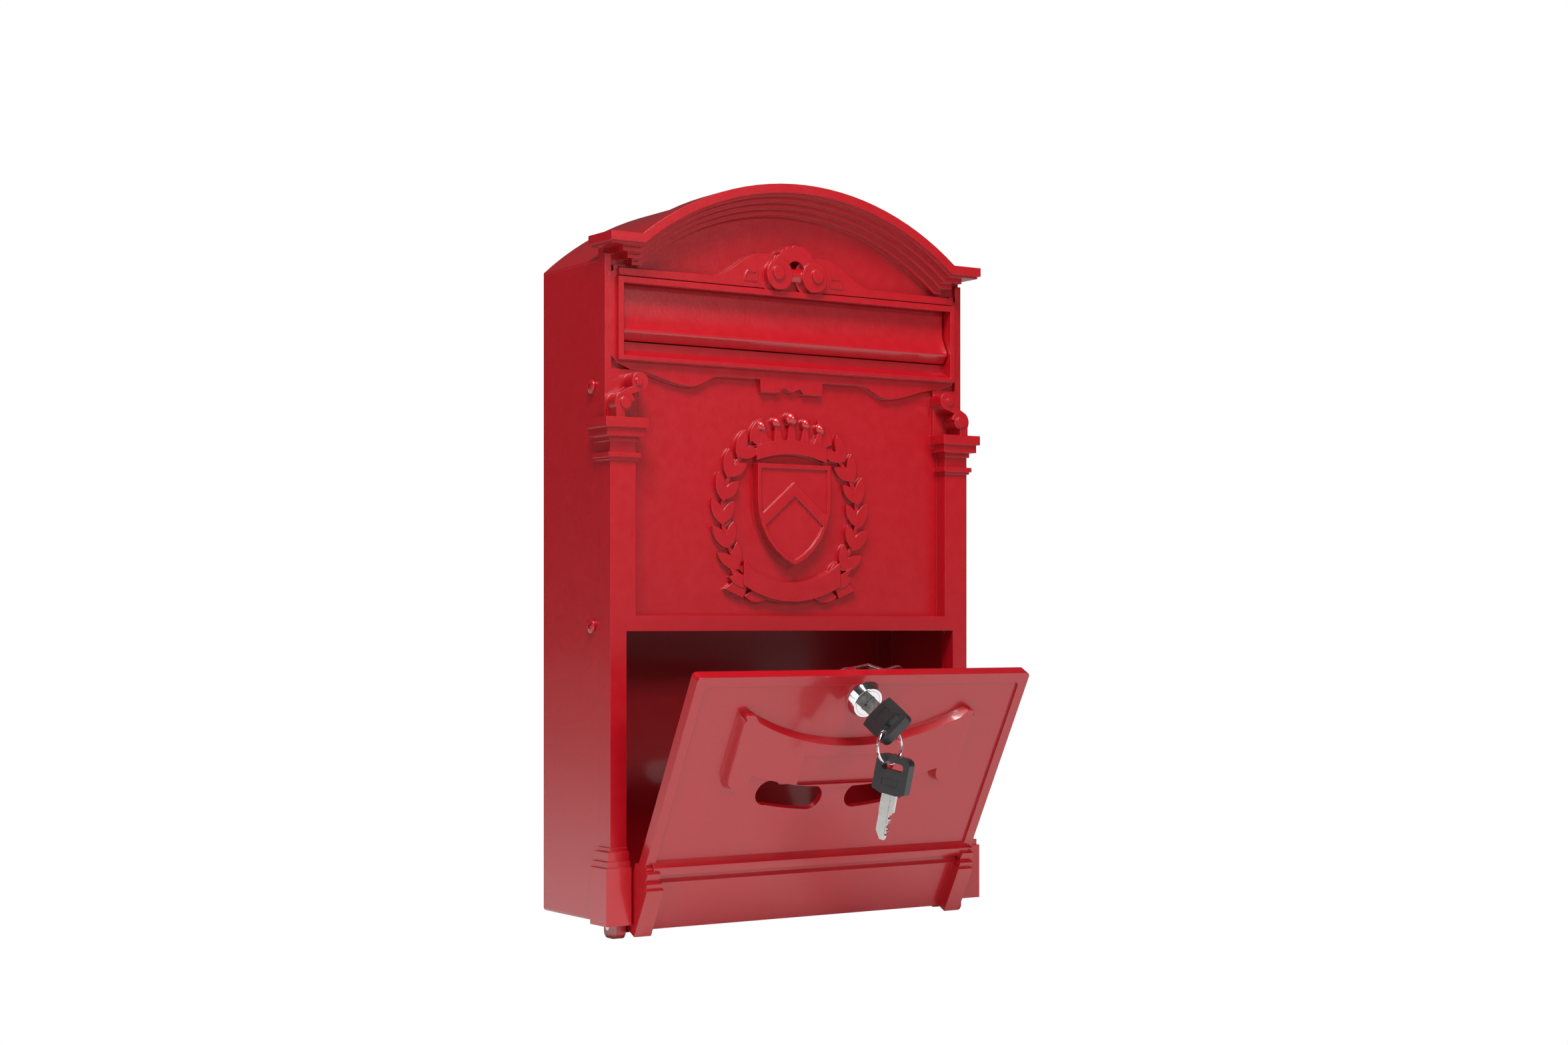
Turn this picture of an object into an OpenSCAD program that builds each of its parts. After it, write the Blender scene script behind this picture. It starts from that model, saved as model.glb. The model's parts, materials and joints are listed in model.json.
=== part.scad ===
/* [Front casting] */
// Height from the column feet to the crown of the arch
box_h = 410; // [400:1:425]
// Width over the two columns
box_w = 243.2; // [236:0.2:256]
// Wall of the casting
wall = 3; // [2.5:0.1:3.4]
// Depth of the rim behind the panel's face
rim_d = 4.6; // [4:0.1:5.5]
// How far the columns and the rail stand out of the panel
column_out = 8.5; // [7:0.1:10]
// Width of a column beside the panel
column_w = 16.1; // [14:0.1:18]
// Width of the plain border beside the slot
border_w = 4.1; // [3:0.1:5]
// How far the border and the plate behind a scroll bracket stand out
border_out = 2.6; // [1.5:0.1:3.4]

/* [Cornice] */
// How far the flat top of the cornice's end lugs lies under the crown
lug_drop = 36.6; // [32:0.2:40]
// Half the chord of the arch
arch_x = 106; // [100:0.5:110]
// How far the cornice stands out of the panel
cornice_out = 17; // [15:0.5:19]
// How far the end lugs stand out at the sides
lug_out = 4; // [2.6:0.1:5]
// How far the end lugs return along the sides
lug_return = 8.5; // [6:0.5:12]
// Height of the roll along the top of the cornice
roll_h = 5; // [4:0.1:6]
// Height of each step under the roll
step_h = 3.1; // [2.6:0.1:3.4]

/* [Columns] */
// Height of the plain block at a column's foot
foot_h = 31.2; // [28:0.2:33]
// How far the foot stands out of the column
foot_out = 5.4; // [4:0.1:6]
// Distance from the crown down to the top of the capitals
capital_drop = 136; // [133:0.5:140]
// How far the capital's slab stands out of the column
capital_out = 5.7; // [5:0.1:6.4]
// How far the scroll brackets stand out of the panel
bracket_out = 12; // [10:0.5:13.5]

/* [Letter slot] */
// Distance from the crown down to the slot's lower edge
slot_drop = 101.7; // [100.5:0.1:104]
// Height of the slot
slot_h = 39.5; // [38:0.1:40.5]
// Width of the slot
slot_w = 223; // [216:0.5:224]
// Width of the frame round the slot
frame_w = 3.3; // [2.5:0.1:4]
// How far the frame stands out of the panel
frame_out = 6; // [5:0.1:7]
// How far the apron under the frame stands out
apron_out = 3; // [2:0.1:3.8]
// Thickness of the letter flap
flap_t = 1.8; // [1.4:0.1:2]
// Diameter of the flap's rod
rod_d = 3; // [2.6:0.1:3.2]
// Gap beside the flap at each end
flap_gap = 0.7; // [0.5:0.1:1.2]

/* [Door] */
// Height of the door opening
opening_h = 158.5; // [155:0.5:161]
// Width of the door opening
opening_w = 222.8; // [216:0.2:224]
// Height of the rail over the opening
rail_h = 8.3; // [7.6:0.1:10]
// Gap round the door
door_gap = 0.9; // [0.6:0.1:1.4]
// How far the door's face lies out of the panel's face
door_out = 6; // [5:0.1:6.8]
// Thickness of the door's plate
door_t = 3; // [2.5:0.1:3.4]
// Angle at which the door rests on its stop
door_open = 28; // [10:1:28]
// Diameter of the hinge pins
pin_d = 4; // [3.4:0.1:4.4]
// How far the door's scrolled banner stands out of its plate
banner_out = 5; // [4:0.1:6]
// Half the length of the banner
banner_x = 78.4; // [74:0.2:82]

/* [Sheet body] */
// Depth of the box behind the panel's face
body_d = 67.5; // [60:0.5:90]
// Distance from the crown down to the top of the side sheets
side_drop = 50.4; // [48:0.2:55]
// Thickness of the sheet
sheet_t = 1; // [0.8:0.1:1.4]
// Rise of the roof over the side sheets
roof_rise = 47; // [44:0.5:48]
// Distance between the wall holes, across
hole_across = 160; // [120:5:180]
// Distance between the wall holes, up
hole_up = 270; // [200:5:290]
// Diameter of the wall holes
hole_d = 6.5; // [4:0.1:9]
// Diameter of the side screws
screw_d = 3.4; // [3:0.1:4]

/* [Lock] */
// Distance from the opening's upper edge down to the lock's centre
lock_drop = 16; // [15:0.1:18.5]
// Diameter of the lock's front flange
flange_d = 22; // [21:0.5:24]
// How far the flange stands out of the door
flange_out = 5; // [3:0.1:6]
// Diameter of the threaded barrel
barrel_d = 18.8; // [18:0.1:19.4]
// Length of the barrel behind the door's face
barrel_l = 18.6; // [18.6:0.1:20]
// Diameter of the turning plug
plug_d = 12.8; // [12.4:0.1:13.4]
// Reach of the cam from the lock's centre
cam_l = 32.5; // [30:0.5:33]
// Width of the cam's tip
cam_w = 12; // [10:0.5:12.5]
// Angle of the cam above level at rest
cam_angle = 18; // [0:1:19]

/* [Keys] */
// Width of a key's bow
bow_w = 20.5; // [19:0.5:23]
// Length of a key's bow
bow_l = 21; // [20:0.5:24]
// Thickness of a key's bow
bow_t = 6; // [5.5:0.1:6.5]
// Width of a key's blade
blade_w = 8.8; // [8:0.1:9]
// Length of a key's blade out of the bow
blade_l = 25; // [22:0.5:26]
// Angle of the key's bow above level in the lock
key_angle = 54; // [50:1:58]
// Outer diameter of the split ring
ring_d = 20; // [19:0.5:22]
// Thickness of the ring's wire
wire_t = 1; // [0.8:0.1:1.1]

/* [Crest] */
// How far the crest's centre lies under the middle between the rail and the slot
crest_drop = 8.55; // [6:0.05:11]
// Half the width of the laurel branches
crest_x = 46; // [40:1:48]
// How far the shield stands out of the panel
shield_out = 5; // [3:0.5:7]

/* [Hidden] */
$fn = 64;
eps = 0.01;
red = [0.72, 0.07, 0.11];
zinc = [0.78, 0.79, 0.8];
chrome = [0.85, 0.86, 0.88];
brass = [0.78, 0.62, 0.32];
black = [0.08, 0.08, 0.09];

// Running clearance of a shaft in its hole
fit_gap = 0.06;
side_x = box_w / 2;
open_x = opening_w / 2;
lug_h = box_h - lug_drop;
arch_r = (arch_x * arch_x + lug_drop * lug_drop) / (2 * lug_drop);
arch_cz = box_h - arch_r;
capital_z = box_h - capital_drop;
side_h = box_h - side_drop;
sill_z = box_h - slot_drop;
slot_x = slot_w / 2;
slot_top = sill_z + slot_h;
sill_rise = 3.5;
jamb_y = 1.5;
upstand_z = sill_z + 8.3;
rail_top = opening_h + rail_h;
panel_x = side_x - column_w;
crest_z = (rail_top + sill_z) / 2 - crest_drop;

// Flap: its rod lies behind the frame's top bar
rod_y = 3.5;
rod_z = slot_top + 2.7;
flap_x = slot_x - flap_gap;
ear_x = slot_x + 1.7;
ear_t = 3;
clip_t = 1;
flap_roll_r = rod_d / 2 + 1.3;
flap_bulge_r = 24;
flap_bulge_z = sill_z + 22.7;
flap_front_y = -3.5;
flap_lip_z = sill_z + 13.5;

// Door: sizes of the closed door, which then turns about the pins
door_x = open_x - door_gap;
door_top = opening_h - door_gap + 0.1;
door_foot = 2;
face_y = -door_out;
door_back = face_y + door_t;
hinge_y = 2;
hinge_z = -2;
knuckle_r = pin_d / 2 + 2;
lug_in = open_x + 0.6;
lug_w = 5.6;
heel_l = 12;
plinth_w = 10.6;
door_rim_w = 6;

// Lock, measured from the door's face inwards
lock_z = opening_h - lock_drop;
flange_y = face_y - flange_out;
washer_t = 0.8;
nut_t = 3.4;
head_t = 3.4;
head_w = 9.2;
cam_y = face_y + barrel_l;
cam_t = 2;
cam_crank = 9;
cam_neck = 12.4;
hub_r = 8.4;
bend_x = 14.2;
bend_l = 5.2;
tail_s = 8;
bolt_d = 5;
slit_t = 2.3;
blade_t = 2;
key_gap = 9.5;
bow_near = flange_out + key_gap;
tang_l = 8;
slot_bow_w = 4.4;
slot_bow_l = 13.5;
slot_bow_end = 3.6;

// Where the ring passes through the first key's slot, and how the second key hangs on it
ring_r = (ring_d - wire_t) / 2;
ring_turn = 12;
thread_u = bow_near + bow_l - slot_bow_end - slot_bow_w / 2;
thread_v = -2;
key_b_turn = -66;
key_b_lean = 12;
key_b_side = 3.5;
seat_b = wire_t / 2 + 1.3;

// The row's origin: middle of the wall holes on the back face
hole_mid_z = 195;

function roof_r() = (side_x * side_x + roof_rise * roof_rise) / (2 * roof_rise);
function swell(a, b, n = 10) = [for (i = [0:n]) let (t = i / n)
    [a.x + (b.x - a.x) * t, a.y + (b.y - a.y) * (1 - cos(180 * t)) / 2]];
function arc(c, r, a0, a1, n = 6) = [for (i = [0:n]) let (a = a0 + (a1 - a0) * i / n)
    [c.x + r * cos(a), c.y + r * sin(a)]];
function mirrored(pts) = [for (i = [len(pts) - 1:-1:0]) [-pts[i].x, pts[i].y]];
function opened(p) = let (y = p.y - hinge_y, z = p.z - hinge_z) [p.x,
    hinge_y + y * cos(door_open) - z * sin(door_open),
    hinge_z + y * sin(door_open) + z * cos(door_open)];
function thread_point() = opened([thread_v * cos(key_angle), face_y - thread_u,
    lock_z + thread_v * sin(key_angle)]);

// An outline in X and Z, standing up between two depths
module upright(y0, y1) translate([0, y1, 0]) rotate([90, 0, 0]) linear_extrude(y1 - y0) children();

// An outline in Y and Z, run along X
module along(x0, x1) translate([x0, 0, 0]) rotate([90, 0, 90]) linear_extrude(x1 - x0) children();

module both_sides() {
    children();
    mirror([1, 0, 0]) children();
}

module placed() translate([0, -body_d, -hole_mid_z]) children();

module door_turned() translate([0, hinge_y, hinge_z]) rotate([door_open, 0, 0])
    translate([0, -hinge_y, -hinge_z]) children();

// The lock's own place on the door, turned about its axis
module at_lock(turn) door_turned() translate([0, face_y, lock_z]) rotate([0, -turn, 0]) children();

// A disc or ring lying across the lock's axis, between two depths
module across(y0, y1) translate([0, y1, 0]) rotate([90, 0, 0]) linear_extrude(y1 - y0) children();

module bar(x0, x1, z0, z1) translate([x0, z0]) square([x1 - x0, z1 - z0]);

// Everything under the cornice's top line lowered by a drop, out to a half width
module under_cornice(drop, half) {
    intersection() {
        translate([0, arch_cz]) circle(arch_r - drop, $fn = 180);
        bar(-half, half, arch_cz, box_h);
    }
    bar(-half, half, 0, lug_h - drop);
}

module face_area(inset = 0) intersection() {
    under_cornice(2 + inset, side_x - inset);
    bar(inset - side_x, side_x - inset, 0, box_h);
}

// The columns and the rail as one raised area
module raised_area() {
    both_sides() {
        bar(open_x, side_x, 0, opening_h + 1);
        bar(panel_x, side_x, opening_h, capital_z);
    }
    bar(-panel_x - 1, panel_x + 1, opening_h, rail_top);
}

module opening_area() polygon(concat([[-open_x, -1], [open_x, -1]],
    arc([open_x - 3, opening_h - 3], 3, 0, 90), arc([3 - open_x, opening_h - 3], 3, 90, 180)));

// The cornice steps: each one lower, less proud and shorter than the one above
module cornice() {
    for (i = [0:4]) {
        drop = i == 0 ? roll_h : roll_h + 1.4 + (i - 1) * step_h;
        out = i == 0 ? cornice_out : cornice_out - 1.6 - (i - 1) * 3.6;
        half = i < 2 ? side_x + lug_out - i * 1.4 : side_x - 1.6 - (i - 1) * 4.7;
        upright(-out, wall) difference() {
            under_cornice(0, half);
            under_cornice(drop, half + 1);
        }
        if (i < 2) both_sides() upright(0, lug_return - i) intersection() {
            difference() {
                under_cornice(0, half);
                under_cornice(drop, half + 1);
            }
            bar(side_x, half, 0, box_h);
        }
    }
}

// A block on a column: it stands out of the column's front, inner and outer faces alike
module tier(z0, z1, out, inner, back) {
    translate([inner - out * 0.9, -column_out - out, z0])
        cube([side_x - inner + out * 1.9, column_out + out + wall, z1 - z0]);
    translate([side_x, 0, z0]) cube([out, back, z1 - z0]);
}

module capital() {
    for (t = [[0, 5.4, 1], [5.4, 10, 0.72], [10, 12.8, 0.2], [18.8, 21.4, 0.37], [21.4, 22.8, 0.19]])
        tier(capital_z - t[1], capital_z - t[0], capital_out * t[2], panel_x, lug_return - 0.5);
}

module foot() {
    for (t = [[0, foot_h, 1], [foot_h, foot_h + 3.3, 0.78], [foot_h + 3.3, foot_h + 8.4, 0.54],
            [foot_h + 8.4, foot_h + 10.6, 0.19]])
        translate([open_x, -column_out - foot_out * t[2], t[0]])
            cube([side_x - open_x + foot_out * t[2], column_out + foot_out * t[2] + rim_d - 0.6,
                t[1] - t[0]]);
}

// Scroll bracket over a capital: an upper roll, a band that winds down to a lower roll, and two eyes
module bracket() {
    up = [panel_x - 0.7, capital_z + 20];
    low = [side_x - 7.3, capital_z + 8];
    upright(-border_out, wall) bar(panel_x - 4.5, side_x, capital_z - 8, capital_z + 27);
    upright(-bracket_out, 0) {
        translate(up) circle(5.1);
        difference() {
            translate(low) circle(6.2);
            bar(low.x - 8, low.x + 0.5, low.y - 8, low.y + 1);
        }
        translate(low) circle(4.2);
        polygon([[up.x - 1, up.y - 5], [up.x + 4.4, up.y - 2.6], [low.x + 2, low.y + 6],
            [low.x - 3.4, low.y + 2.6], [low.x - 3.4, low.y + 4.6]]);
        bar(low.x, low.x + 5.4, capital_z - 1, low.y);
    }
    upright(-bracket_out - 1.2, -bracket_out + 1) {
        translate([up.x + 1.2, up.y - 0.3]) circle(2.1);
        translate(low) circle(3.2);
    }
}

// Half of the apron's edge, from the middle of the lower edge round to the top
function apron_half() = concat(
    swell([0, sill_z - 14.1], [6, sill_z - 12], 4), [[8.1, sill_z - 14.9], [21, sill_z - 14.9],
    [21.4, sill_z - 7.9], [24, sill_z - 7.6]],
    swell([47.5, sill_z - 7.6], [67, sill_z - 14.4]), swell([67.1, sill_z - 14.4], [106, sill_z - 7.2]),
    [[114, sill_z - 4], [slot_x + 7.4, sill_z + 1]],
    [for (i = [0:10]) [slot_x + 8.7 - 0.75 * (1 - cos(36 * i)), sill_z + 8 + 3.2 * i]],
    [[slot_x + 7.2, slot_top + 5.2], [slot_x + 2.5, slot_top + 7.8]]);

module apron() upright(-apron_out, wall) polygon(concat(apron_half(), mirrored(apron_half())));

// Swan-neck scrolls over the slot, with two volutes, a bar between them and a fluted shell
function neck_half() = concat([[0, slot_top + 4], [slot_x + 2.5, slot_top + 4],
    [slot_x + 2.5, slot_top + 8]], swell([54, slot_top + 8.6], [22, slot_top + 23.4]));

module swan_neck() {
    vol = [12, slot_top + 12];
    both_sides() {
        upright(-apron_out - 2, wall) {
            intersection() {
                polygon(concat(neck_half(), [[12, slot_top + 23.4], [12, slot_top + 4]]));
                bar(0, slot_x + 5, slot_top, box_h);
            }
            translate(vol) circle(11.4);
        }
        upright(-apron_out - 6, wall) translate(vol) circle(8.6);
        upright(-apron_out - 7.4, 0) translate([vol.x + 1.3, vol.y + 0.9]) circle(3.9);
        upright(-apron_out - 2.6, 0) difference() {
            translate([24.7, slot_top + 7.4]) intersection() {
                circle(9);
                bar(0, 9, 0, 6);
            }
            translate([25.7, slot_top + 8.4]) intersection() {
                circle(7);
                bar(0, 7, 0, 4);
            }
        }
    }
    along(-4.5, 4.5) translate([-apron_out - 0.5, slot_top + 12.2]) circle(4.5);
    for (a = [-60:20:60]) upright(-apron_out - 4.4, wall) translate([0, slot_top + 14.4])
        rotate(a) polygon([[-1.6, 6], [1.6, 6], [2.9, 13.4], [1.7, 14.8], [0, 15.2], [-1.7, 14.8],
            [-2.9, 13.4]]);
    upright(-apron_out - 3, wall) translate([0, slot_top + 14.4]) difference() {
        circle(13.6);
        circle(9);
        bar(-15, 15, -15, 1.5);
    }
}

// Crest: a plain shield with a chevron, a coronet of plain balls, laurel branches and a ribbon
module leaf(l, w) intersection() {
    translate([w / 2 - (l * l + w * w) / (4 * w), 0]) circle((l * l + w * w) / (4 * w));
    translate([(l * l + w * w) / (4 * w) - w / 2, 0]) circle((l * l + w * w) / (4 * w));
}

module shield_area(inset = 0) {
    w = 25 - inset;
    side = concat([[w, crest_z + 24 - inset]], arc([-15, crest_z + 4], w + 15, 0, -acos(15 / (w + 15))));
    polygon(concat(side, mirrored(side)));
}

module laurel() for (i = [0:8]) {
    a = -62 + i * 15.5;
    c = [crest_x * cos(a), crest_z - 4 + (crest_x + 4) * sin(a)];
    upright(-2.6 - 0.6 * (i % 2), 0) {
        translate([c.x + 3.2 * cos(a), c.y + 3.2 * sin(a)]) rotate(a - 28) leaf(17, 7);
        translate([c.x - 3.6 * cos(a), c.y - 3.6 * sin(a)]) rotate(a + 30) leaf(15, 6.4);
    }
}

module crest() {
    upright(-shield_out, 0) shield_area();
    upright(-shield_out - 1.2, 0) {
        difference() {
            shield_area();
            shield_area(2.4);
        }
        intersection() {
            shield_area(2);
            polygon([[-26, crest_z - 16], [0, crest_z + 6], [26, crest_z - 16], [26, crest_z - 8],
                [0, crest_z + 14], [-26, crest_z - 8]]);
        }
    }
    both_sides() laurel();
    upright(-2.2, 0) difference() {
        translate([0, crest_z - 4]) circle(crest_x + 1.2);
        translate([0, crest_z - 4]) circle(crest_x - 1.2);
        bar(-crest_x - 5, crest_x + 5, crest_z + 34, box_h);
    }
    // Coronet
    upright(-3.6, 0) intersection() {
        translate([0, crest_z - 38]) circle(76);
        translate([0, crest_z - 38]) difference() {
            bar(-24, 24, 20, 80);
            circle(68);
        }
    }
    for (i = [-2:2]) {
        tip = [i * 10, crest_z + 50 - abs(i) * 2.5];
        upright(-3.2, 0) polygon([[tip.x * 0.86 - 4, crest_z + 32], [tip.x * 0.86 + 4, crest_z + 32],
            [tip.x + 1, tip.y], [tip.x - 1, tip.y]]);
        translate([tip.x, -1.4, tip.y]) sphere(i == 0 ? 4.4 : 3.4, $fn = 32);
    }
    // Ribbon under the shield
    upright(-4.2, 0) intersection() {
        translate([0, crest_z + 10]) difference() {
            circle(64);
            circle(53);
        }
        bar(-33, 33, 0, crest_z - 30);
    }
    both_sides() upright(-2.8, 0) polygon([[28, crest_z - 42], [42, crest_z - 34], [38, crest_z - 42],
        [45, crest_z - 47], [33, crest_z - 52]]);
}

// Screw posts at the casting's edge, which the side sheets are screwed to
module screw_places() for (z = [rail_top - 5.5, capital_z + 18]) translate([0, rim_d + 6.4, z])
    children();

module front_casting() color(red) {
    difference() {
        union() {
            upright(0, wall) face_area();
            upright(-border_out, wall) both_sides()
                bar(side_x - border_w, side_x, capital_z - 4, lug_h - 10);
            upright(0, rim_d) difference() {
                face_area();
                face_area(wall);
                bar(-open_x, open_x, -1, opening_h);
            }
            cornice();
            difference() {
                upright(-column_out, wall) raised_area();
                upright(-column_out + wall, wall + eps) {
                    both_sides() bar(panel_x + wall, side_x - wall, rail_top, capital_z - wall);
                    both_sides() bar(open_x + wall, side_x - wall, foot_h, opening_h);
                    bar(-panel_x, panel_x, opening_h + wall, rail_top - wall);
                }
            }
            both_sides() {
                capital();
                foot();
                bracket();
                along(lug_in, lug_in + lug_w) polygon(concat([[rim_d + 1, 1], [-column_out, 1]],
                    arc([4 - column_out, -4], 4, 180, 270), arc([rim_d - 3, -4], 4, 270, 360)));
                screw_places() {
                    rotate([0, 90, 0]) cylinder(h = side_x - sheet_t, r = 4);
                    translate([0, -rim_d - 6, -4]) cube([side_x - sheet_t, rim_d + 6, 8]);
                }
            }
            apron();
            upright(-frame_out, wall) bar(-slot_x - frame_w, slot_x + frame_w, sill_z - frame_w + 1,
                slot_top + frame_w);
            swan_neck();
            crest();
        }
        upright(-cornice_out - 1, wall + 1) bar(-slot_x, slot_x, sill_z, slot_top);
        upright(-2, wall + 1) bar(-side_x + wall, side_x - wall, slot_top - eps, slot_top + 9);
        upright(-column_out - 9, wall + 20) opening_area();
        // The middle of the screw posts is cut away, so each post is a short stub
        upright(wall, wall + 20) bar(-side_x + 9.6, side_x - 9.6, 0, box_h);
        both_sides() screw_places() rotate([0, 90, 0])
            translate([0, 0, side_x - 11]) cylinder(h = 12, d = screw_d);
        both_sides() along(lug_in - 1, lug_in + lug_w + 1) translate([hinge_y, hinge_z])
            circle(d = pin_d);
    }
    // Sloping sill and the upstand behind it
    along(-slot_x - 1, slot_x + 1) polygon([[-frame_out + eps, sill_z - 1], [-frame_out + eps, sill_z],
        [jamb_y, sill_z + sill_rise], [jamb_y, upstand_z], [wall, upstand_z], [wall, sill_z - 1]]);
    // Ears for the flap's rod
    both_sides() difference() {
        along(ear_x, ear_x + ear_t) {
            bar(-2.5, rod_y, slot_top - 2.5, slot_top + 9.5);
            translate([rod_y, rod_z]) circle(4.4);
        }
        along(ear_x - 1, ear_x + ear_t + 1) translate([rod_y, rod_z]) circle(d = rod_d + 2 * fit_gap);
    }
}

// Bent sheet: two sides, floor, front lip and back flanges
module body_wrap() color(red) difference() {
    union() {
        upright(rim_d, body_d - sheet_t) wrap_area();
        upright(body_d - 2 * sheet_t, body_d - sheet_t) difference() {
            wrap_shape(0, side_h);
            bar(12 - side_x, side_x - 12, 12, box_h);
        }
        upright(hinge_y + 5, hinge_y + 5 + sheet_t) bar(-side_x + sheet_t, side_x - sheet_t, 0.5, 16);
    }
    upright(0, hinge_y + 5) bar(-side_x + sheet_t + eps, side_x - sheet_t - eps, -1, 2.5);
    both_sides() screw_places() rotate([0, 90, 0]) translate([0, 0, side_x - 5])
        cylinder(h = 8, d = screw_d + 0.6);
}

module wrap_shape(inset, top) polygon(concat([[side_x - inset, top], [inset - side_x, top]],
    arc([2 - side_x, 2.5], 2 - inset, 180, 270), arc([side_x - 2, 2.5], 2 - inset, 270, 360)));

module wrap_area() difference() {
    wrap_shape(0, side_h);
    wrap_shape(sheet_t, side_h + 1);
}

module back_plate() color(red) difference() {
    upright(body_d - sheet_t, body_d) {
        wrap_shape(0, side_h + sheet_t / 2);
        roof_area(0);
    }
    for (x = [-1, 1], z = [-1, 1])
        translate([x * hole_across / 2, body_d + 1, hole_mid_z + z * hole_up / 2])
            rotate([90, 0, 0]) cylinder(h = sheet_t + 2, d = hole_d);
}

// Everything under the roof's arc and above the side sheets
module roof_area(inset) intersection() {
    translate([0, side_h + sheet_t + roof_rise - roof_r()]) circle(roof_r() - inset, $fn = 180);
    bar(-side_x, side_x, side_h, box_h);
}

module roof_sheet() color(red) {
    upright(rim_d, body_d - sheet_t) difference() {
        roof_area(0);
        roof_area(sheet_t);
    }
    both_sides() upright(rim_d + 4, body_d - 2 * sheet_t)
        bar(side_x - 2 * sheet_t, side_x - sheet_t, side_h - 12, side_h + sheet_t);
}

module side_screws() color(red) both_sides() screw_places() rotate([0, 90, 0]) {
    translate([0, 0, side_x - 9]) cylinder(h = 9, d = screw_d);
    difference() {
        translate([0, 0, side_x]) rotate_extrude() {
            square([3.2, 1.1]);
            intersection() {
                translate([0, -4.4]) circle(7);
                bar(0, 3.9, 0, 3);
            }
        }
        for (a = [45, 135]) translate([0, 0, side_x + 1.4]) rotate(a)
            translate([-2.1, -0.45, 0]) cube([4.2, 0.9, 2]);
    }
}

module hinge_pins() color(zinc) both_sides()
    translate([door_x - 5.5, hinge_y, hinge_z]) rotate([0, 90, 0])
        cylinder(h = lug_in + lug_w - door_x + 5.5, d = pin_d);

module flap_rod() color(zinc) along(-ear_x - ear_t - clip_t - 0.6, ear_x + ear_t + clip_t + 0.6)
    translate([rod_y, rod_z]) circle(d = rod_d);

module rod_clips() color(zinc) both_sides() along(ear_x + ear_t, ear_x + ear_t + clip_t)
    translate([rod_y, rod_z]) difference() {
        circle(d = rod_d + 2.2);
        circle(d = rod_d);
    }

// The flap's section: a rolled top, a neck behind the frame, a bulge and a small lower flange
module flap_section() difference() {
    union() {
        translate([rod_y, rod_z]) circle(flap_roll_r);
        bar(rod_y - flap_roll_r + 0.2, rod_y - flap_roll_r + 0.2 + flap_t, flap_bulge_z + 10, rod_z);
        translate([flap_front_y + flap_bulge_r, flap_bulge_z]) intersection() {
            difference() {
                circle(flap_bulge_r, $fn = 120);
                circle(flap_bulge_r - flap_t, $fn = 120);
            }
            bar(-flap_bulge_r, 0, flap_lip_z - flap_bulge_z, 12.5);
        }
        bar(-0.6, 1, upstand_z + 0.4, flap_lip_z + 1.6);
    }
    translate([rod_y, rod_z]) circle(d = rod_d + 2 * fit_gap);
}

module letter_flap() color(red) difference() {
    along(-flap_x, flap_x) flap_section();
    // Rounded lower corners
    both_sides() upright(-9, 6) translate([flap_x - 4, flap_lip_z + 3.6]) difference() {
        bar(0, 5, -5, 0);
        circle(4);
    }
    both_sides() upright(-9, 6) bar(flap_x - 4.1, flap_x + 1, upstand_z, flap_lip_z - 0.2);
}

// The door's outlines
module door_area(inset = 0) {
    c = [door_x - inset - 2.4, door_top - inset - 2.4];
    polygon(concat([[inset - door_x, door_foot + inset], [door_x - inset, door_foot + inset]],
        arc(c, 2.4, 0, 90), arc([-c.x, c.y], 2.4, 90, 180)));
}

banner_mid_top = 118;
banner_mid_low = 87.6;
sag_top_r = 147;
sag_low_r = 215;
lobe_w = 18;

module banner_area() {
    lobe_c = banner_x - lobe_w / 2;
    difference() {
        union() {
            intersection() {
                translate([0, banner_mid_low + sag_low_r]) circle(sag_low_r, $fn = 180);
                bar(-banner_x + lobe_w - 1, banner_x - lobe_w + 1, banner_mid_low - 1, banner_mid_top + 16);
            }
            both_sides() {
                translate([lobe_c, banner_mid_low + 9.6]) circle(lobe_w / 2);
                bar(lobe_c - lobe_w / 2, banner_x, banner_mid_low + 9.6, banner_mid_top + 13.4);
                bar(lobe_c - lobe_w / 2, banner_x - 5, banner_mid_top + 13, banner_mid_top + 18.4);
                translate([banner_x - 5, banner_mid_top + 13.4]) circle(5);
            }
        }
        translate([0, banner_mid_top + sag_top_r]) circle(sag_top_r, $fn = 180);
    }
}

module view_slots() both_sides() {
    low = banner_mid_low - 15.4;
    intersection() {
        translate([0, low + sag_low_r]) circle(sag_low_r, $fn = 180);
        bar(15.5, 44.5, low, banner_mid_low + 2);
    }
    translate([15.5, low + 8.2]) circle(7.6);
    translate([44.5, low + 12.3]) circle(7.8);
}

// The moulding over the door's skirting, from the plate's face outwards
module ledge_section() polygon([[door_back, 45], [face_y, 45], [face_y - 2.6, 42.9], [face_y - 4, 42.4],
    [face_y - 4, 39.6], [face_y - 3.2, 37], [face_y - 1, 35.6], [face_y - 1, 33.6],
    [face_y - 3, 32.2], [face_y - 3, door_foot], [door_back, door_foot]]);

module plinth() {
    outs = [[foot_h, 1], [foot_h + 3.3, 0.84], [foot_h + 8.4, 0.6], [foot_h + 10.6, 0.34]];
    for (i = [0:3]) {
        z0 = i == 0 ? door_foot : outs[i - 1][0];
        w = plinth_w - 1.1 * i;
        translate([door_x - w, face_y - 9 * outs[i][1], z0])
            cube([w, 9 * outs[i][1] + door_t, outs[i][0] - z0]);
    }
}

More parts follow.
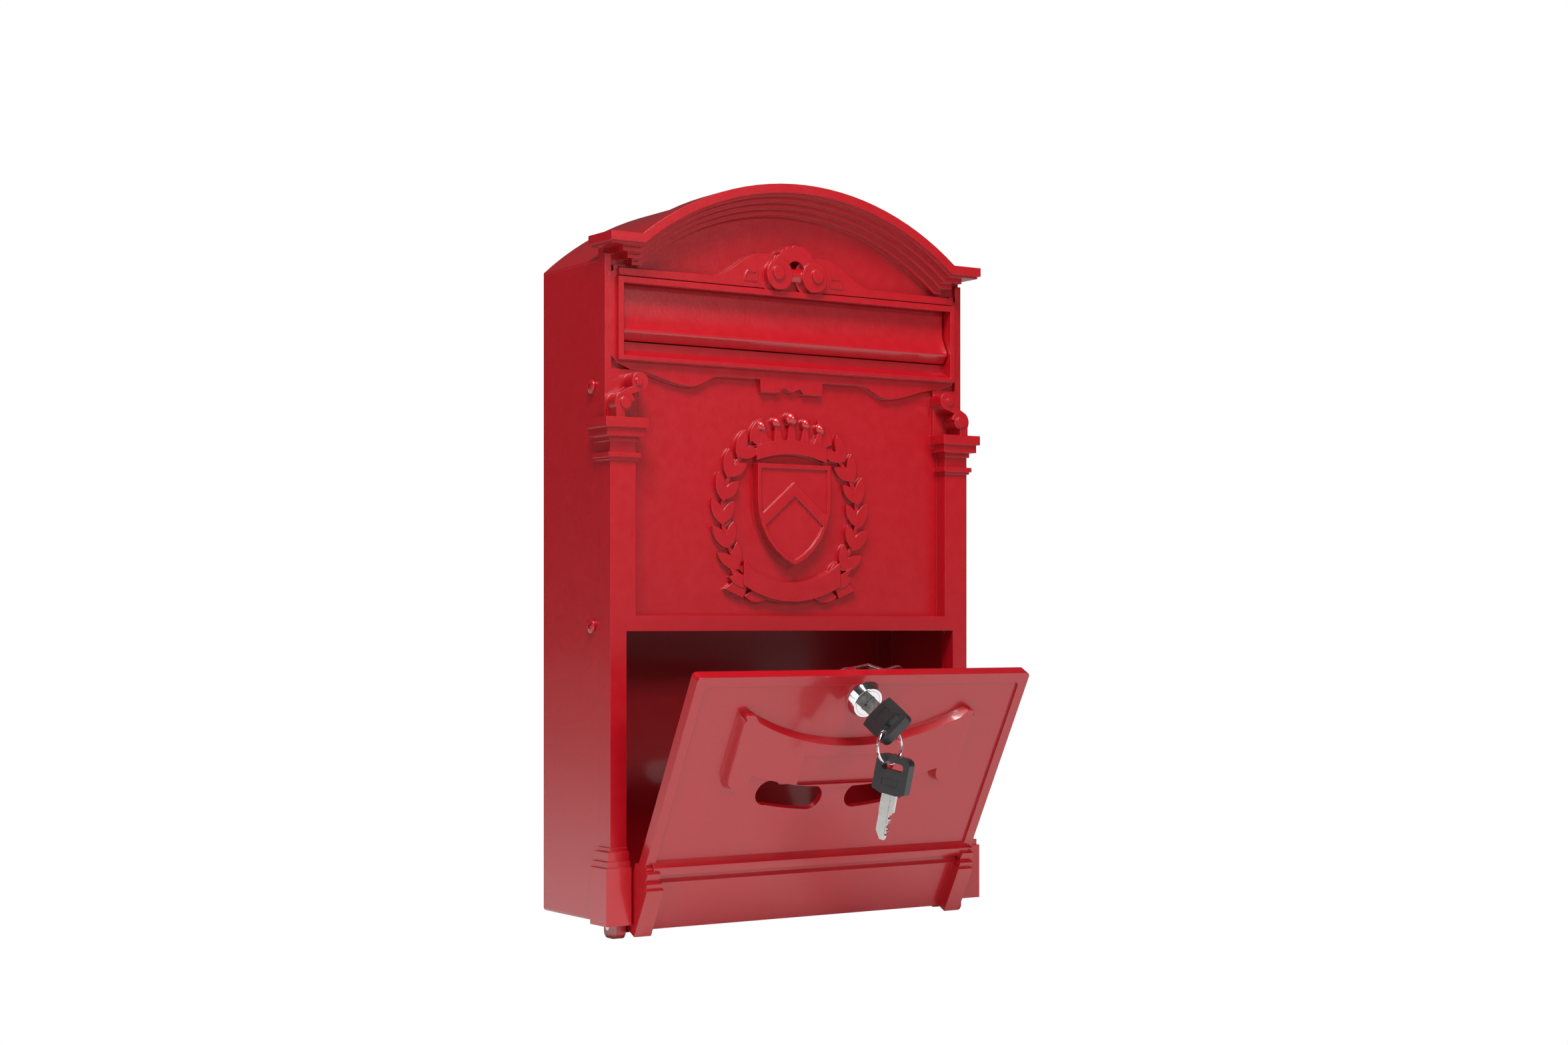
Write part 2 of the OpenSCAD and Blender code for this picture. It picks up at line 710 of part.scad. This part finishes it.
module door_casting() color(red) door_turned() difference() {
    union() {
        upright(face_y, door_back) door_area();
        upright(face_y - 1.2, door_back) difference() {
            door_area();
            door_area(door_rim_w);
            bar(-door_x + door_rim_w, door_x - door_rim_w, 0, 40);
        }
        upright(door_back, -0.5) difference() {
            door_area();
            door_area(2.5);
        }
        upright(-1, hinge_y + 0.5) both_sides() bar(door_x - 2.5, door_x, door_foot, 38);
        along(-door_x + 4, door_x - 4) ledge_section();
        both_sides() plinth();
        difference() {
            upright(face_y - banner_out, face_y) banner_area();
            upright(face_y - banner_out - 1, face_y - banner_out + 2) window_area();
        }
        both_sides() along(door_x - 6, door_x - 0.4) {
            translate([hinge_y, hinge_z]) circle(knuckle_r);
            bar(door_back, hinge_y + 0.5, hinge_z, door_foot + 2);
        }
        // Heel that meets the floor's underside when the door is down
        both_sides() translate([0, hinge_y, hinge_z]) rotate([-door_open, 0, 0])
            translate([door_x - 6, 0, 0]) cube([5.6, heel_l, 2.2]);
    }
    // The banner is hollow behind, as the plate's wall runs through it
    upright(face_y - banner_out + 2 * door_t - 1.4, door_back + 1) offset(delta = -door_t)
        banner_area();
    upright(face_y - banner_out - 1, door_back + 1) difference() {
        view_slots();
        banner_area();
    }
    upright(face_y - 3, door_back + 1) translate([0, lock_z]) circle(d = barrel_d + 0.4);
    upright(face_y - 3, face_y) translate([0, lock_z]) circle(d = flange_d + 0.4);
    both_sides() along(door_x - 5.5, door_x + 1) translate([hinge_y, hinge_z])
        circle(d = pin_d + 2 * fit_gap);
}

window_w = 62;

module window_area() bar(-window_w / 2, window_w / 2, banner_mid_low + 4, banner_mid_top - 8.4);

module lock_barrel() color(chrome) at_lock(0) rotate([90, 0, 0]) difference() {
    rotate_extrude() {
        polygon([[0, 0], [flange_d / 2, 0], [flange_d / 2, 0.8], [flange_d / 2 - 2.2, flange_out],
            [0, flange_out]]);
        bar(0, barrel_d / 2, -barrel_l, 0);
    }
    translate([0, 0, -barrel_l - 1]) cylinder(h = barrel_l + flange_out + 2, d = plug_d + 2 * fit_gap);
    translate([0, 0, flange_out - 1.5]) cylinder(h = 3, d = plug_d + 2);
}

module lock_washer() color(zinc) at_lock(0) across(door_t, door_t + washer_t) difference() {
    circle(d = flange_d + 3);
    circle(d = barrel_d + 0.3);
}

module lock_nut() color(zinc) at_lock(0) across(door_t + washer_t, door_t + washer_t + nut_t)
    difference() {
        circle(d = barrel_d + 7.2, $fn = 6);
        circle(d = barrel_d);
    }

// Five wafer gates, at equal steps along the plug
module wafer_places() for (i = [0:4]) translate([0, 2 + 2.2 * i, 0]) children();

module lock_plug() color(chrome) at_lock(key_angle) difference() {
    union() {
        across(-flange_out, barrel_l) circle(d = plug_d);
        across(-flange_out, -flange_out + 1.4) circle(d = plug_d + 2 - 2 * fit_gap);
        rotate([0, key_angle - cam_angle, 0]) across(barrel_l - 1, barrel_l + cam_t)
            square(tail_s - 2 * fit_gap, center = true);
    }
    across(-flange_out - 1, blade_l - key_gap - flange_out + 1)
        square([blade_w + 0.5, slit_t], center = true);
    wafer_places() across(-0.55, 0.55) square([plug_d - 1.4, 6.2], center = true);
    across(barrel_l - 5, barrel_l + cam_t + 1) circle(d = bolt_d);
}

module lock_wafers() color(brass) at_lock(key_angle) wafer_places() across(-0.5, 0.5) difference() {
    square([plug_d - 1.6, 6], center = true);
    square([blade_w + 0.5, slit_t], center = true);
}

// Cranked cam: a hub on the plug's tail, a step towards the door and a round tip
module lock_cam() color(zinc) at_lock(cam_angle) difference() {
    y = barrel_l;
    intersection() {
        translate([0, 0, -12]) linear_extrude(24) polygon([[-hub_r - 1.6, y], [bend_x, y],
            [bend_x + bend_l, y - cam_crank], [cam_l + 1, y - cam_crank],
            [cam_l + 1, y - cam_crank + cam_t], [bend_x + bend_l + 1, y - cam_crank + cam_t],
            [bend_x + 1, y + cam_t], [-hub_r - 1.6, y + cam_t]]);
        across(y - cam_crank - 1, y + cam_t + 1) {
            circle(r = hub_r);
            polygon([[0, 0.4 - hub_r], [14, -cam_neck / 2], [cam_l - cam_w / 2, -cam_w / 2],
                [cam_l - cam_w / 2, cam_w / 2], [14, cam_neck / 2], [0, hub_r - 0.4]]);
            translate([cam_l - cam_w / 2, 0]) circle(d = cam_w);
        }
    }
    across(y - 1, y + cam_t + 1) square(tail_s, center = true);
}

module cam_washer() color(zinc) at_lock(cam_angle)
    across(barrel_l + cam_t, barrel_l + cam_t + washer_t) difference() {
        circle(d = tail_s + 5.5);
        circle(d = bolt_d + 0.3);
    }

module cam_bolt() color(zinc) at_lock(cam_angle) {
    across(barrel_l + cam_t + washer_t, barrel_l + cam_t + washer_t + head_t) circle(d = head_w, $fn = 6);
    across(barrel_l - 4.6, barrel_l + cam_t + washer_t + 1) circle(d = bolt_d);
}

// A key: the bow lies out along -Y, the blade's tip points along +Y
module key_blade() color(zinc) translate([0, -bow_near, 0]) {
    tip = blade_l;
    cuts = [1.2, 0.5, 1.5, 0.8, 1.3];
    difference() {
        linear_extrude(blade_t, center = true) polygon([[-blade_w / 2, 0], [blade_w / 2, 0],
            [blade_w / 2, 9.4], [blade_w / 2 - 1.4, 10.6], [blade_w / 2 - 1.4, tip - 4],
            [1.4, tip], [-0.8, tip], [-blade_w / 2 + 0.4, tip - 4.6], [-blade_w / 2 + 0.4, 10.6],
            [-blade_w / 2, 9.4]]);
        for (i = [0:4]) translate([blade_w / 2 - 1.4, 12.2 + 2.3 * i, 0])
            cylinder(h = blade_t + 1, r = cuts[i], center = true, $fn = 24);
        for (s = [-1, 1]) translate([-1.6 * s - 0.4, -1, s * (blade_t / 2 - 0.35) - 0.35])
            cube([0.8, tip - 2, 0.7]);
    }
    translate([-2.8, -tang_l, -blade_t / 2]) cube([5.6, tang_l + 0.5, blade_t]);
}

module bow_area() {
    w = bow_w / 2;
    polygon(concat([[w, -1.6], [w - 5, 0], [5 - w, 0], [-w, -1.6]],
        arc([4 - w, 4 - bow_l], 4, 180, 270), arc([w - 4, 4 - bow_l], 4, 270, 360)));
}

module bow_slot() {
    y = -bow_l + slot_bow_end + slot_bow_w / 2;
    bar(-slot_bow_l / 2 + slot_bow_w / 2, slot_bow_l / 2 - slot_bow_w / 2, y - slot_bow_w / 2,
        y + slot_bow_w / 2);
    both_sides() translate([slot_bow_l / 2 - slot_bow_w / 2, y]) circle(d = slot_bow_w);
}

module key_bow() color(black) translate([0, -bow_near, 0]) difference() {
    linear_extrude(bow_t, center = true) difference() {
        bow_area();
        bow_slot();
    }
    for (s = [-1, 1]) translate([-5, -8.6, s * (bow_t / 2 - 0.25) - 0.25]) cube([10, 4.2, 0.5]);
    translate([-2.8, -tang_l, -blade_t / 2]) cube([5.6, tang_l + 1, blade_t]);
}

module ring_place() translate(thread_point() - [0, 0, ring_r]) rotate([90, 0, ring_turn]) children();

module key_ring() color(chrome) ring_place() rotate_extrude($fn = 96) {
    translate([ring_r, wire_t / 2]) circle(d = wire_t, $fn = 24);
    translate([ring_r, -wire_t / 2]) circle(d = wire_t, $fn = 24);
    bar(ring_r - wire_t / 2, ring_r + wire_t / 2, -wire_t / 2, wire_t / 2);
}

module key_b_place() {
    hang = thread_point() - [0, 0, 2 * ring_r];
    bar_y = -bow_near - bow_l + slot_bow_end + seat_b;
    translate(hang) rotate([0, 0, key_b_turn]) rotate([0, key_b_lean, 0]) rotate([-90, 0, 0])
        translate([key_b_side, -bar_y, 0]) children();
}

placed() front_casting();
placed() body_wrap();
placed() back_plate();
placed() roof_sheet();
placed() side_screws();
placed() hinge_pins();
placed() flap_rod();
placed() rod_clips();
placed() letter_flap();
placed() door_casting();
placed() lock_barrel();
placed() lock_washer();
placed() lock_nut();
placed() lock_plug();
placed() lock_wafers();
placed() lock_cam();
placed() cam_washer();
placed() cam_bolt();
placed() at_lock(key_angle) key_blade();  // key_a_blade
placed() at_lock(key_angle) key_bow();  // key_a_bow
placed() key_ring();
placed() key_b_place() key_blade();  // key_b_blade
placed() key_b_place() key_bow();  // key_b_bow
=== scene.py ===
import json
import math

import bmesh
import bpy
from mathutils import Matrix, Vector


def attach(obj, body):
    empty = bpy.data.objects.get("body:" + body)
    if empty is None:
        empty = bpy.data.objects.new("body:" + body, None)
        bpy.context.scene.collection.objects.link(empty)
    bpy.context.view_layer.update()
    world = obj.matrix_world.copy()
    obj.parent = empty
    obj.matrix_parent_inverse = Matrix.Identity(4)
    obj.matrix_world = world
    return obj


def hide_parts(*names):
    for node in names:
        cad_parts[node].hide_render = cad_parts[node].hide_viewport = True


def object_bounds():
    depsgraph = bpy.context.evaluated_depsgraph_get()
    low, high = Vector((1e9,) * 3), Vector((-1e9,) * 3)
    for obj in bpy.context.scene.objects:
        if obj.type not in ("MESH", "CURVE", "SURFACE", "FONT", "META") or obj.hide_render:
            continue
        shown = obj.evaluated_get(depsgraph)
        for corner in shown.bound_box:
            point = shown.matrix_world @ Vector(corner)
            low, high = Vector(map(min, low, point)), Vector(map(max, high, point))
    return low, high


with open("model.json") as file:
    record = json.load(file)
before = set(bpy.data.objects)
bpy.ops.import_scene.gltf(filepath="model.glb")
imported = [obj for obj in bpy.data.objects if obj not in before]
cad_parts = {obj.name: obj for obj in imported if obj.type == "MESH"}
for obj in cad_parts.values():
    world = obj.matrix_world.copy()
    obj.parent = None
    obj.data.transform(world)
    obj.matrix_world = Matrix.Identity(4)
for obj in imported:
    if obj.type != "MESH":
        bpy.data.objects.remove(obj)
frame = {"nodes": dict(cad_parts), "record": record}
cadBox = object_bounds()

print("frame loaded")
mm = 0.001
backDepth = 67.5  # mm from the panel's face back to the wall
holeMiddle = 195.0  # mm from the column feet up to the middle of the wall holes
bodyOf = {node: body for body, nodes in frame["record"]["behaviour"]["bodies"].items() for node in nodes}


def place(x, y, z):  # a point of the casting, in mm, in the shared frame
    return Vector((x * mm, (y - backDepth) * mm, (z - holeMiddle) * mm))


# Shader sums written as Python expressions
class Wire:
    def __init__(self, paint, socket):
        self.paint = paint
        self.socket = socket

    def sum(self, operation, first, second):
        return self.paint.node("ShaderNodeMath", {"operation": operation}, {0: first, 1: second})

    def __add__(self, other):
        return self.sum("ADD", self, other)

    def __sub__(self, other):
        return self.sum("SUBTRACT", self, other)

    def __rsub__(self, other):
        return self.sum("SUBTRACT", other, self)

    def __mul__(self, other):
        return self.sum("MULTIPLY", self, other)

    __radd__ = __add__
    __rmul__ = __mul__


class Paint:
    def __init__(self, name):
        self.material = bpy.data.materials.new(name)
        self.material.use_nodes = True
        self.tree = self.material.node_tree
        self.shader = self.tree.nodes["Principled BSDF"]

    def join(self, value, socket):
        if isinstance(value, Wire):
            self.tree.links.new(value.socket, socket)
        else:
            socket.default_value = value

    def node(self, kind, settings, inputs, output=0):
        made = self.tree.nodes.new(kind)
        for key, value in settings.items():
            setattr(made, key, value)
        for key, value in inputs.items():
            self.join(value, made.inputs[key])
        return Wire(self, made.outputs[output])

    def spot(self):
        return self.node("ShaderNodeTexCoord", {}, {}, "Object")

    def noise(self, scale, detail):
        inputs = {"Vector": self.spot(), "Scale": scale, "Detail": detail}
        return self.node("ShaderNodeTexNoise", {}, inputs)

    def blend(self, mask, first, second):
        inputs = {0: mask, 6: (*first, 1), 7: (*second, 1)}
        return self.node("ShaderNodeMix", {"data_type": "RGBA"}, inputs, 2)

    def roundEdges(self, radius, samples):
        return self.node("ShaderNodeBevel", {"samples": samples}, {"Radius": radius})

    def bump(self, height, strength, distance, edges=None):
        inputs = {"Height": height, "Strength": strength, "Distance": distance}
        if edges:
            inputs["Normal"] = edges
        return self.node("ShaderNodeBump", {}, inputs)

    def finish(self, values):
        for key, value in values.items():
            self.join(value, self.shader.inputs[key])
        return self.material


redPaint = {  # lengths in metres, as the shader's sockets take them
    "red": (0.37, 0.0012, 0.007),
    "deepRed": (0.33, 0.001, 0.006),
    "cloudScale": 160.0,
    "cloudDetail": 2.0,
    "roughness": 0.33,
    "spread": 0.1,
    "peelScale": 620.0,
    "peelDetail": 1.0,
    "peelStrength": 0.12,
    "peelDepth": 0.0004,
    "coat": 0.6,
    "coatRoughness": 0.09,
    "edgeRadius": 0.0006,
    "edgeSamples": 8,
}


def redCoat(name, s):
    p = Paint(name)
    cloud = p.noise(s["cloudScale"], s["cloudDetail"])
    peel = p.noise(s["peelScale"], s["peelDetail"])
    edges = p.roundEdges(s["edgeRadius"], s["edgeSamples"])
    return p.finish({
        "Base Color": p.blend(cloud, s["deepRed"], s["red"]),
        "Roughness": s["roughness"] + (cloud - 0.5) * s["spread"],
        "Coat Weight": s["coat"],
        "Coat Roughness": s["coatRoughness"],
        "Normal": p.bump(peel, s["peelStrength"], s["peelDepth"], edges),
    })


grainDepth = 0.0001  # metres between the hollows and the tops of a grained surface
grained = {
    "zinc": {"dark": (0.5, 0.49, 0.47), "light": (0.66, 0.65, 0.63), "metallic": 1.0,
             "grainScale": 380.0, "grainDetail": 3.0, "roughness": 0.26, "spread": 0.16, "bump": 0.1},
    "chrome": {"dark": (0.72, 0.72, 0.73), "light": (0.84, 0.84, 0.85), "metallic": 1.0,
               "grainScale": 160.0, "grainDetail": 3.0, "roughness": 0.09, "spread": 0.06, "bump": 0.02},
    "brass": {"dark": (0.55, 0.38, 0.14), "light": (0.72, 0.53, 0.22), "metallic": 1.0,
              "grainScale": 420.0, "grainDetail": 3.0, "roughness": 0.32, "spread": 0.14, "bump": 0.1},
    "black_plastic": {"dark": (0.008, 0.008, 0.009), "light": (0.02, 0.02, 0.022), "metallic": 0.0,
                      "grainScale": 900.0, "grainDetail": 2.0, "roughness": 0.36, "spread": 0.16,
                      "bump": 0.25},
}


def grainedFinish(name, s):
    p = Paint(name)
    grain = p.noise(s["grainScale"], s["grainDetail"])
    return p.finish({
        "Base Color": p.blend(grain, s["dark"], s["light"]),
        "Metallic": s["metallic"],
        "Roughness": s["roughness"] + (grain - 0.5) * s["spread"],
        "Normal": p.bump(grain, s["bump"], grainDepth),
    })


finishes = {name: grainedFinish(name, s) for name, s in grained.items()}
finishes["red_powder_coat"] = redCoat("redPowderCoat", redPaint)
slotOf = {part["node"]: part["material_slot"] for part in frame["record"]["subparts"]}
print("materials made")


# Pieces
def pieceFrom(name, bm, node, smoothAngle):
    mesh = bpy.data.meshes.new(name)
    bm.to_mesh(mesh)
    bm.free()
    if mesh.attributes.get("custom_normal"):  # left over from the node's mesh, and wrong after a change
        mesh.attributes.remove(mesh.attributes["custom_normal"])
    mesh.materials.clear()
    mesh.materials.append(finishes[slotOf[node]])
    mesh.polygons.foreach_set("use_smooth", [True] * len(mesh.polygons))
    mesh.set_sharp_from_angle(angle=math.radians(smoothAngle))
    made = bpy.data.objects.new(name, mesh)
    bpy.context.scene.collection.objects.link(made)
    evened = made.modifiers.new("evenNormals", "WEIGHTED_NORMAL")
    evened.keep_sharp = True
    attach(made, bodyOf[node])
    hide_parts(node)


doorHinge = {"y": 2.0, "z": -2.0, "open": 28.0}  # mm in the casting's frame, and degrees
banner = {
    "top": -11.0,  # y of its flat top, with the door shut
    "low": (-110, 60), "high": (110, 135),  # corners of the area round it, in x and z
    "windowLow": (-32, 90.6), "windowHigh": (32, 110.6),  # corners of the area round its window
    "inset": 2.2,  # mm that the top's edge moves in
    "reach": 0.05,  # mm to either side of the top's plane
    "upright": 0.2, "sameWall": 0.999,  # cosines between directions
    "tightest": 0.35,  # least divisor at a corner, so that a sharp one isn't thrown far
}


def shutSpot(point, s):  # where a point of the open door lies in the casting's frame, with the door shut
    spot = point / mm + Vector((0, backDepth, holeMiddle))
    y, z = spot.y - s["y"], spot.z - s["z"]
    across, up = math.cos(math.radians(s["open"])), math.sin(math.radians(s["open"]))
    return Vector((spot.x, y * across + z * up + s["y"], z * across - y * up + s["z"]))


def within(spot, low, high):
    return low[0] < spot.x < high[0] and low[1] < spot.z < high[1]


def onBannerTop(spot, s):
    level = abs(spot.y - s["top"]) < s["reach"]
    return level and within(spot, s["low"], s["high"]) and not within(spot, s["windowLow"], s["windowHigh"])


def wallsAt(vert, outward, s):  # the different upright directions of the faces round a point
    walls = []
    for face in vert.link_faces:
        upright = abs(face.normal.dot(outward)) < s["upright"] and face.calc_area() > 0
        if upright and all(face.normal.dot(wall) < s["sameWall"] for wall in walls):
            walls.append(face.normal.copy())
    return walls


def slopeBanner(bm, s):  # moves the edge of the banner's top inwards, which slopes its sides
    bm.normal_update()
    turn = math.radians(doorHinge["open"])
    outward = Vector((0, -math.cos(turn), -math.sin(turn)))
    moves = {}
    for vert in bm.verts:
        walls = wallsAt(vert, outward, s)
        if walls and onBannerTop(shutSpot(vert.co, doorHinge), s):
            first, last = walls[0], min(walls, key=walls[0].dot)
            shift = (first + last) / max(1 + first.dot(last), s["tightest"]) if first != last else first
            moves[vert] = shift * -s["inset"] * mm
    for vert, move in moves.items():
        vert.co += move
    print("banner's top moved in at", len(moves), "points")


softEdges = {
    "meldGap": 0.004,  # mm
    "flatAngle": 0.6,
    "edgeAngle": 24.0,
    "segments": 2,
    "smoothAngle": 32.0,
    # Widths asked for, in mm. The clamp leaves 0.15 on the key bows, 0.19 on the cam, 0.24 on the nut,
    # and next to none on lock_plug and the key blades.
    "widths": {
        "lock_barrel": 0.25, "lock_nut": 0.3, "lock_plug": 0.12, "lock_cam": 0.35, "cam_bolt": 0.3,
        "key_a_bow": 0.7, "key_b_bow": 0.7, "key_a_blade": 0.15, "key_b_blade": 0.15,
        "side_screws": 0.15,
    },
    "painted": ("front_casting", "door_casting", "body_wrap", "roof_sheet", "back_plate"),
}


def softCopy(node, s):  # the painted ones keep their edges, which their paint rounds
    bm = bmesh.new()
    bm.from_mesh(frame["nodes"][node].data)
    bmesh.ops.remove_doubles(bm, verts=bm.verts, dist=s["meldGap"] * mm)
    bmesh.ops.dissolve_limit(
        bm, angle_limit=math.radians(s["flatAngle"]), verts=bm.verts, edges=bm.edges, delimit={"NORMAL"}
    )
    if node == "door_casting":
        bmesh.ops.triangulate(bm, faces=[face for face in bm.faces if len(face.verts) > 4])
        slopeBanner(bm, banner)
    if node in s["widths"]:
        sharpest = math.radians(s["edgeAngle"])
        edges = [edge for edge in bm.edges if edge.is_manifold and edge.calc_face_angle() > sharpest]
        bmesh.ops.bevel(
            bm, geom=edges, offset=s["widths"][node] * mm, offset_type="OFFSET", segments=s["segments"],
            profile=0.5, affect="EDGES", clamp_overlap=True, material=-1,
        )
    pieceFrom(node + "_soft", bm, node, s["smoothAngle"])


flapForm = {  # mm in the casting's frame, places as y and z
    "halfWidth": 110.8,
    "sheet": 1.7,
    "rod": (3.5, 350.5), "eyeRadius": 2.6, "eyeArc": (0, 180), "eyeSteps": 12, "eyeDrop": 3.2,
    "crease": (0.9, 332.5),
    "nose": (-1.6, 322.4), "noseRadius": 2.0, "noseArc": (155, 225), "noseSteps": 8,
    "lip": (0.4, 317.0),
    "smoothAngle": 30.0,
}


def arc(centre, radius, ends, steps):
    turns = [math.radians(ends[0] + (ends[1] - ends[0]) * i / steps) for i in range(steps + 1)]
    return [(centre[0] + radius * math.cos(turn), centre[1] + radius * math.sin(turn)) for turn in turns]


def foldFlap(s):  # an eye round the rod, a fall to the crease, a slope, a rolled nose and the lip
    eye = arc(s["rod"], s["eyeRadius"], s["eyeArc"], s["eyeSteps"])
    front = [s["crease"], *arc(s["nose"], s["noseRadius"], s["noseArc"], s["noseSteps"]), s["lip"]]
    back = []
    for before, spot, after in zip([eye[-1], *front], front, [*front[1:], front[-1]]):
        along = (Vector(after) - Vector(before)).normalized()
        back.append((spot[0] - along.y * s["sheet"], spot[1] + along.x * s["sheet"]))
    underEye = (s["crease"][0] + s["sheet"], s["rod"][1] - s["eyeDrop"])
    bm = bmesh.new()
    section = [bm.verts.new(place(-s["halfWidth"], y, z)) for y, z in [*eye, *front, *back[::-1], underEye]]
    drawn = bmesh.ops.extrude_face_region(bm, geom=[bm.faces.new(section)], use_keep_orig=True)
    far = [part for part in drawn["geom"] if isinstance(part, bmesh.types.BMVert)]
    bmesh.ops.translate(bm, verts=far, vec=(2 * s["halfWidth"] * mm, 0, 0))
    bmesh.ops.recalc_face_normals(bm, faces=bm.faces)
    pieceFrom("foldedFlap", bm, "letter_flap", s["smoothAngle"])


for node in frame["nodes"]:
    if node == "letter_flap":
        foldFlap(flapForm)
    elif node in softEdges["widths"] or node in softEdges["painted"]:
        softCopy(node, softEdges)
    else:
        shown = frame["nodes"][node]
        shown.data.materials.clear()
        shown.data.materials.append(finishes[slotOf[node]])
print("pieces made")

# Floor, light and camera
floorLook = {"size": 9.0, "gap": 0.2, "colour": (0.86, 0.86, 0.86, 1)}  # gap in mm under the box


def layFloor(s):
    bm = bmesh.new()
    bmesh.ops.create_grid(bm, x_segments=1, y_segments=1, size=s["size"])
    mesh = bpy.data.meshes.new("paleFloor")
    bm.to_mesh(mesh)
    bm.free()
    floor = bpy.data.objects.new("paleFloor", mesh)
    floor.location.z = cadBox[0].z - s["gap"] * mm
    bpy.context.scene.collection.objects.link(floor)
    p = Paint("paleFloor")
    path = p.node("ShaderNodeLightPath", {}, {}, "Is Camera Ray")
    glow = p.node("ShaderNodeEmission", {}, {"Color": (1, 1, 1, 1), "Strength": 1.0})
    plain = p.node("ShaderNodeBsdfDiffuse", {}, {"Color": s["colour"]})
    mixed = p.node("ShaderNodeMixShader", {}, {0: path, 1: plain, 2: glow})
    p.join(mixed, p.tree.nodes["Material Output"].inputs["Surface"])
    mesh.materials.append(p.material)


layFloor(floorLook)

worldLook = {"seen": 1.0, "light": 0.24, "mirrored": 0.05}


def lightWorld(s):
    world = bpy.data.worlds.new("paleRoom")
    world.use_nodes = True
    bpy.context.scene.world = world
    tree = world.node_tree
    path = tree.nodes.new("ShaderNodeLightPath")
    strength = None
    for ray, level in (("Is Glossy Ray", "mirrored"), ("Is Camera Ray", "seen")):
        choice = tree.nodes.new("ShaderNodeMapRange")
        tree.links.new(path.outputs[ray], choice.inputs["Value"])
        choice.inputs["To Min"].default_value = s["light"]
        choice.inputs["To Max"].default_value = s[level]
        if strength:
            tree.links.new(strength, choice.inputs["To Min"])
        strength = choice.outputs[0]
    tree.links.new(strength, tree.nodes["Background"].inputs["Strength"])
    tree.nodes["Background"].inputs["Color"].default_value = (1, 1, 1, 1)


lightWorld(worldLook)

lamps = {
    "topBox": {"at": (-0.5, -0.75, 1.25), "aim": (0, -0.08, 0.05), "size": (0.7, 0.45), "power": 30.0},
    "leftBox": {"at": (-1.8, -0.7, 0.1), "aim": (-0.1, -0.05, 0), "size": (0.5, 1.0), "power": 5.0},
    "frontBox": {"at": (0.35, -2.2, 0.9), "aim": (0, -0.08, 0), "size": (0.7, 0.4), "power": 15.0},
}


def hangLamp(name, s):
    data = bpy.data.lights.new(name, "AREA")
    data.shape = "RECTANGLE"
    data.size, data.size_y = s["size"]
    data.energy = s["power"]
    lamp = bpy.data.objects.new(name, data)
    lamp.location = s["at"]
    lamp.rotation_euler = (Vector(s["aim"]) - Vector(s["at"])).to_track_quat("-Z", "Y").to_euler()
    bpy.context.scene.collection.objects.link(lamp)


for name, s in lamps.items():
    hangLamp(name, s)

cameraLook = {  # eye in mm in the casting's frame; level, so that uprights stay upright
    "eye": (-757.4, -1128.7, 163.7),
    "turn": -33.745,
    "lens": 54.764,
    "rise": 0.0633,
    "near": 0.01,
}


def setCamera(s):
    data = bpy.data.cameras.new("viewCamera")
    data.lens = s["lens"]
    data.shift_y = s["rise"]
    data.clip_start = s["near"]
    camera = bpy.data.objects.new("viewCamera", data)
    camera.location = place(*s["eye"])
    camera.rotation_euler = (math.radians(90), 0, math.radians(s["turn"]))
    bpy.context.scene.collection.objects.link(camera)
    bpy.context.scene.camera = camera


setCamera(cameraLook)
bpy.context.scene.view_settings.view_transform = "Standard"
print("stage set")
